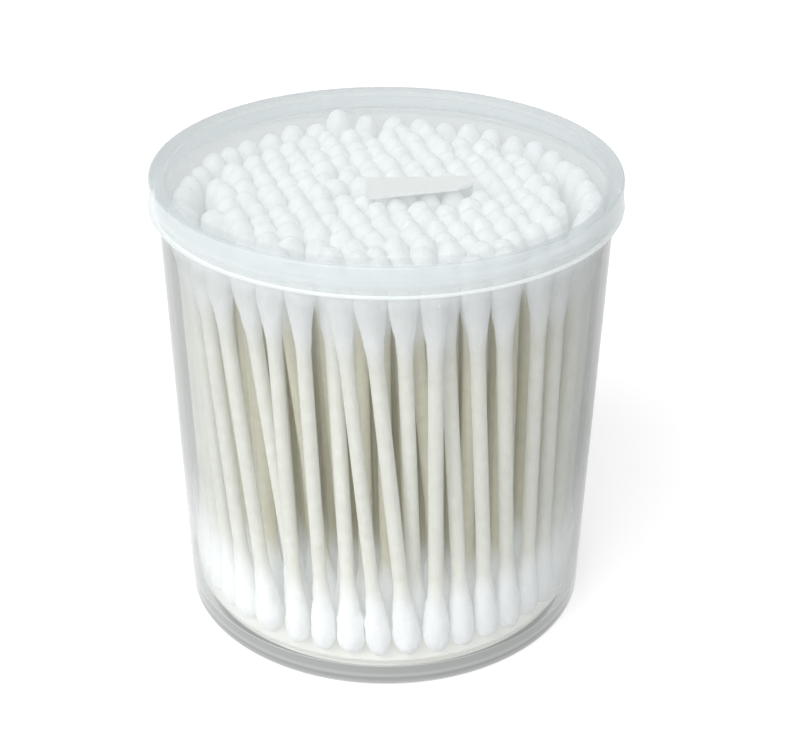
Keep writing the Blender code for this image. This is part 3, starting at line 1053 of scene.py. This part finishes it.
@dataclass
class Swabs:
    """All the swabs, each on its CAD solid's own foot, with its head nudged a little."""

    length: float = 0.0740
    stick_radius: float = 0.00125
    bud_radius: float = 0.00238
    bud_length: float = 0.0165
    widest: float = 0.0046
    tip_power: float = 2.7
    neck_power: float = 0.85
    ring_power: float = 1.7
    cover_end: float = 0.96
    cover_fade: float = 0.30
    lump: float = 0.00022
    coarse_waves: float = 420
    fine_waves: float = 850
    fine_share: float = 0.5
    sink: float = 0.25
    spin_step: float = 1.3
    sharp_deg: float = 80.0
    twist_deg: float = 7.0
    tip_window: float = 0.0012
    length_slack: float = 0.000003
    head_nudge: float = 0.00035
    head_rise: float = 0.00045
    girth_share: float = 0.05
    seed: int = 11

    def bud_radius_at(self, along: float) -> float:
        """Give the bud's radius at a distance from its tip.

        Args:
            along: Distance from the tip.

        Returns:
            The radius, which ends at the stick's own.
        """
        if along < self.widest:
            share = 1 - along / self.widest
            return self.bud_radius * math.sqrt(max(0.0, 1 - share**self.tip_power))
        share = min(1.0, (along - self.widest) / (self.bud_length - self.widest))
        ease = share * share * (3 - 2 * share)
        return self.bud_radius + (self.stick_radius - self.bud_radius) * ease**self.neck_power

    def bud_profile(self, rings: int) -> Profile:
        """Give one bud's outline from its tip to the stick, its rings closer at the tip.

        Args:
            rings: Rings along the bud.

        Returns:
            Points as (radius, distance from the tip).
        """
        points = []
        for i in range(rings + 1):
            along = self.bud_length * (i / rings) ** self.ring_power
            points.append((self.bud_radius_at(along) if i else 0.0, along))
        return points

    def template(self, grade: SwabGrade) -> bpy.types.Mesh:
        """Turn one upright swab, with the cotton's cover stored on its points.

        Args:
            grade: How finely it is turned.

        Returns:
            The template mesh.
        """
        bud = self.bud_profile(grade.bud_rings)
        upper = [(radius, self.length - along) for radius, along in reversed(bud)]
        bm = turned(bud + upper, grade.sides)
        layer = bm.verts.layers.float.new(WRAP_ATTRIBUTE)
        for vert in bm.verts:
            along = min(vert.co.z, self.length - vert.co.z)
            cover = (self.bud_length * self.cover_end - along) / (self.bud_length * self.cover_fade)
            vert[layer] = min(1.0, max(0.0, cover))
        mesh = bpy.data.meshes.new("swab_template")
        bm.to_mesh(mesh)
        bm.free()
        return mesh

    def fits(self, head: Vector, foot: Vector) -> bool:
        """Tell whether a head and a foot lie one swab's length apart."""
        return abs((head - foot).length - self.length) < self.length_slack

    def places(self, node: str) -> list[SwabPlace]:
        """Find the tips of each swab in a CAD node and pair them up by their distance.

        Args:
            node: The CAD node's name.

        Returns:
            The places of its swabs.
        """
        lowest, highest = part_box(node)
        heads: dict[tuple[int, int], Vector] = {}
        feet: dict[tuple[int, int], Vector] = {}
        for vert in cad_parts[node].data.vertices:
            key = (round(vert.co.x / MERGE_DISTANCE), round(vert.co.y / MERGE_DISTANCE))
            if vert.co.z > highest.z - self.tip_window:
                heads[key] = vert.co.copy()
            elif vert.co.z < lowest.z + self.tip_window:
                feet[key] = vert.co.copy()
        twist = Matrix.Rotation(math.radians(self.twist_deg), 3, "Z")
        found = []
        for head in heads.values():
            fitting = [foot for foot in feet.values() if self.fits(head, foot)]
            if not fitting:
                log.warning("%s has a head with no foot at %s", node, head)
                continue
            wanted = (twist @ head).to_2d()
            foot = min(fitting, key=lambda point: (point.to_2d() - wanted).length)
            found.append(SwabPlace(foot, head))
        return found

    def roughen(self, bm: bmesh.types.BMesh) -> None:
        """Move the cotton's points a little, so that no two buds are alike.

        Args:
            bm: Swabs in place.
        """
        layer = bm.verts.layers.float[WRAP_ATTRIBUTE]
        bm.normal_update()
        moves = []
        for vert in bm.verts:
            if vert[layer] > 0:
                coarse = noise.noise(vert.co * self.coarse_waves)
                fine = noise.noise(vert.co * self.fine_waves)
                swell = coarse + self.fine_share * fine - self.sink
                moves.append((vert, vert.normal * self.lump * vert[layer] * swell))
        for vert, move in moves:
            vert.co += move

    def build_node(
        self, node: str, grade: SwabGrade, name: str, finish: bpy.types.Material
    ) -> bpy.types.Object:
        """Dress the swabs of one CAD node.

        Args:
            node: The CAD node's name.
            grade: How finely its swabs are turned.
            name: The new piece's name.
            finish: Cotton and paper.

        Returns:
            The dressed piece.
        """
        template = self.template(grade)
        bm = bmesh.new()
        places = self.places(node)
        draws = random.Random(f"{node} {self.seed}")
        for number, place in enumerate(places):
            part = template.copy()
            across = [draws.uniform(-self.head_nudge, self.head_nudge) for _ in range(2)]
            nudge = Vector((*across, draws.uniform(-self.head_rise, self.head_rise)))
            girth = 1 + draws.uniform(-self.girth_share, self.girth_share)
            part.transform(place.matrix(number * self.spin_step, nudge, girth))
            bm.from_mesh(part)
            bpy.data.meshes.remove(part)
        bpy.data.meshes.remove(template)
        self.roughen(bm)
        piece = add_object(name, finish_mesh(bm, name, self.sharp_deg, finish))
        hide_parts(node)
        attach(piece, Body.TUB.value)
        log.info("%s: %d swabs", name, len(places))
        return piece

    def build(
        self, finish: bpy.types.Material, shaded_inner: bpy.types.Material
    ) -> list[bpy.types.Object]:
        """Dress every node of swabs.

        Args:
            finish: Cotton and paper of the swabs at the wall.
            shaded_inner: Cotton and paper of the swabs inside the bundle, with painted shade.

        Returns:
            The dressed pieces.
        """
        pieces = []
        for node in sorted(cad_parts):
            if node.startswith("swab_block"):
                name = node.replace("swab", "shaded_inner")
                pieces.append(self.build_node(node, SwabGrade.PRESSED, name, shaded_inner))
            elif node.startswith("swab"):
                pieces.append(self.build_node(node, SwabGrade.NEAR_WALL, "cotton_" + node, finish))
        return pieces


@dataclass
class Slip:
    """The folded card slip that lies over the tips."""

    node: str = "paper_slip"

    def build(self, finish: bpy.types.Material) -> bpy.types.Object:
        """Give the CAD slip its card finish.

        Args:
            finish: The card.

        Returns:
            The CAD node, which keeps its shape.
        """
        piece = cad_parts[self.node]
        piece.data.materials.clear()
        piece.data.materials.append(finish)
        return piece


@dataclass
class Studio:
    """Floor, world, lamp and the camera at the photograph's angle."""

    look_at: tuple[float, float, float] = (0.0, 0.0, 0.0412)
    distance: float = 0.3043
    elevation_deg: float = 29.16
    roll_deg: float = 0.21
    focal_px: float = 1672.0
    image_width_px: float = 800.0
    sensor: float = 36.0
    center_px: float = 385.7
    clip_start: float = 0.01
    floor_radius: float = 4.0
    floor_sides: int = 64
    floor_gap: float = 0.0001
    sharp_deg: float = 30.0
    ambient: float = 0.63
    dim_side: float = 0.38
    through: float = 0.64
    sun_strength: float = 2.1
    sun_angle_deg: float = 60.0
    sun_tilt_deg: float = 52.0
    sun_turn_deg: float = -31.0

    def build_camera(self) -> None:
        """Place the camera as the photograph was taken."""
        elevation = math.radians(self.elevation_deg)
        back = Vector((0, -math.cos(elevation), math.sin(elevation)))
        data = bpy.data.cameras.new("camera")
        data.sensor_width = self.sensor
        data.lens = self.focal_px / self.image_width_px * self.sensor
        data.shift_x = (self.image_width_px / 2 - self.center_px) / self.image_width_px
        data.clip_start = self.clip_start
        camera = bpy.data.objects.new("camera", data)
        roll = Matrix.Rotation(math.radians(self.roll_deg), 3, "Z")
        turn = back.to_track_quat("Z", "Y").to_matrix() @ roll
        stand = Matrix.Translation(Vector(self.look_at) + back * self.distance)
        camera.matrix_world = stand @ turn.to_4x4()
        bpy.context.scene.collection.objects.link(camera)
        bpy.context.scene.camera = camera

    def build_world(self) -> None:
        """Add a pale sky, dimmer on the right, that shows white where no plastic lies before it."""
        world = bpy.data.worlds.new("studio_world")
        bpy.context.scene.world = world
        world.use_nodes = True
        sheet = NodeSheet(world.node_tree)
        background = sheet.tree.nodes["Background"]
        background.inputs["Color"].default_value = opaque(WHITE)
        path = sheet.add("ShaderNodeLightPath")
        seen = sheet.seen(path)
        direction = sheet.add("ShaderNodeTexCoord")
        parts = sheet.add("ShaderNodeSeparateXYZ", Vector=direction.outputs["Generated"])
        side = sheet.mapped(parts.outputs["X"], self.ambient, self.dim_side)
        clear = sheet.mapped(path.outputs["Transparent Depth"], 1.0, self.through)
        sheet.fill(background.inputs["Strength"], sheet.mapped(seen, side, clear))

    def build_sun(self) -> None:
        """Add one broad soft lamp from the upper left front."""
        data = bpy.data.lights.new("soft_key", "SUN")
        data.energy = self.sun_strength
        data.angle = math.radians(self.sun_angle_deg)
        lamp = bpy.data.objects.new("soft_key", data)
        lamp.rotation_euler = (math.radians(self.sun_tilt_deg), 0, math.radians(self.sun_turn_deg))
        bpy.context.scene.collection.objects.link(lamp)

    def build_floor(self, finish: bpy.types.Material) -> None:
        """Lay the floor under the foot ring.

        Args:
            finish: The floor's material.
        """
        bm = bmesh.new()
        bmesh.ops.create_circle(
            bm, cap_ends=True, cap_tris=False, segments=self.floor_sides, radius=self.floor_radius
        )
        bmesh.ops.translate(bm, verts=bm.verts, vec=(0, 0, -self.floor_gap))
        add_object("studio_floor", finish_mesh(bm, "studio_floor", self.sharp_deg, finish))

    def build(self) -> None:
        """Set the view and build the whole studio."""
        bpy.context.scene.view_settings.view_transform = "Standard"
        self.build_camera()
        self.build_world()
        self.build_sun()
        self.build_floor(StudioFloor().material())


def main() -> None:
    """Build the studio, then every sub-assembly of the tub."""
    logging.basicConfig(level=logging.INFO, format="%(name)s: %(message)s")
    Studio().build()
    log.info("studio ready")
    finishes = (ClearStyrene(), ThickStyrene(), FloorStyrene())
    piece = Tub().build(*(finish.material() for finish in finishes))
    log.info("%s ready", piece.name)
    piece = Lid().build(FrostedPolypropylene().material())
    log.info("%s ready", piece.name)
    pieces = Swabs().build(SwabFinish().material(), ShadedInnerSwabFinish().material())
    log.info("%d pieces of swabs ready", len(pieces))
    piece = Slip().build(PaleCard().material())
    log.info("%s ready", piece.name)


if __name__ == "__main__":
    main()
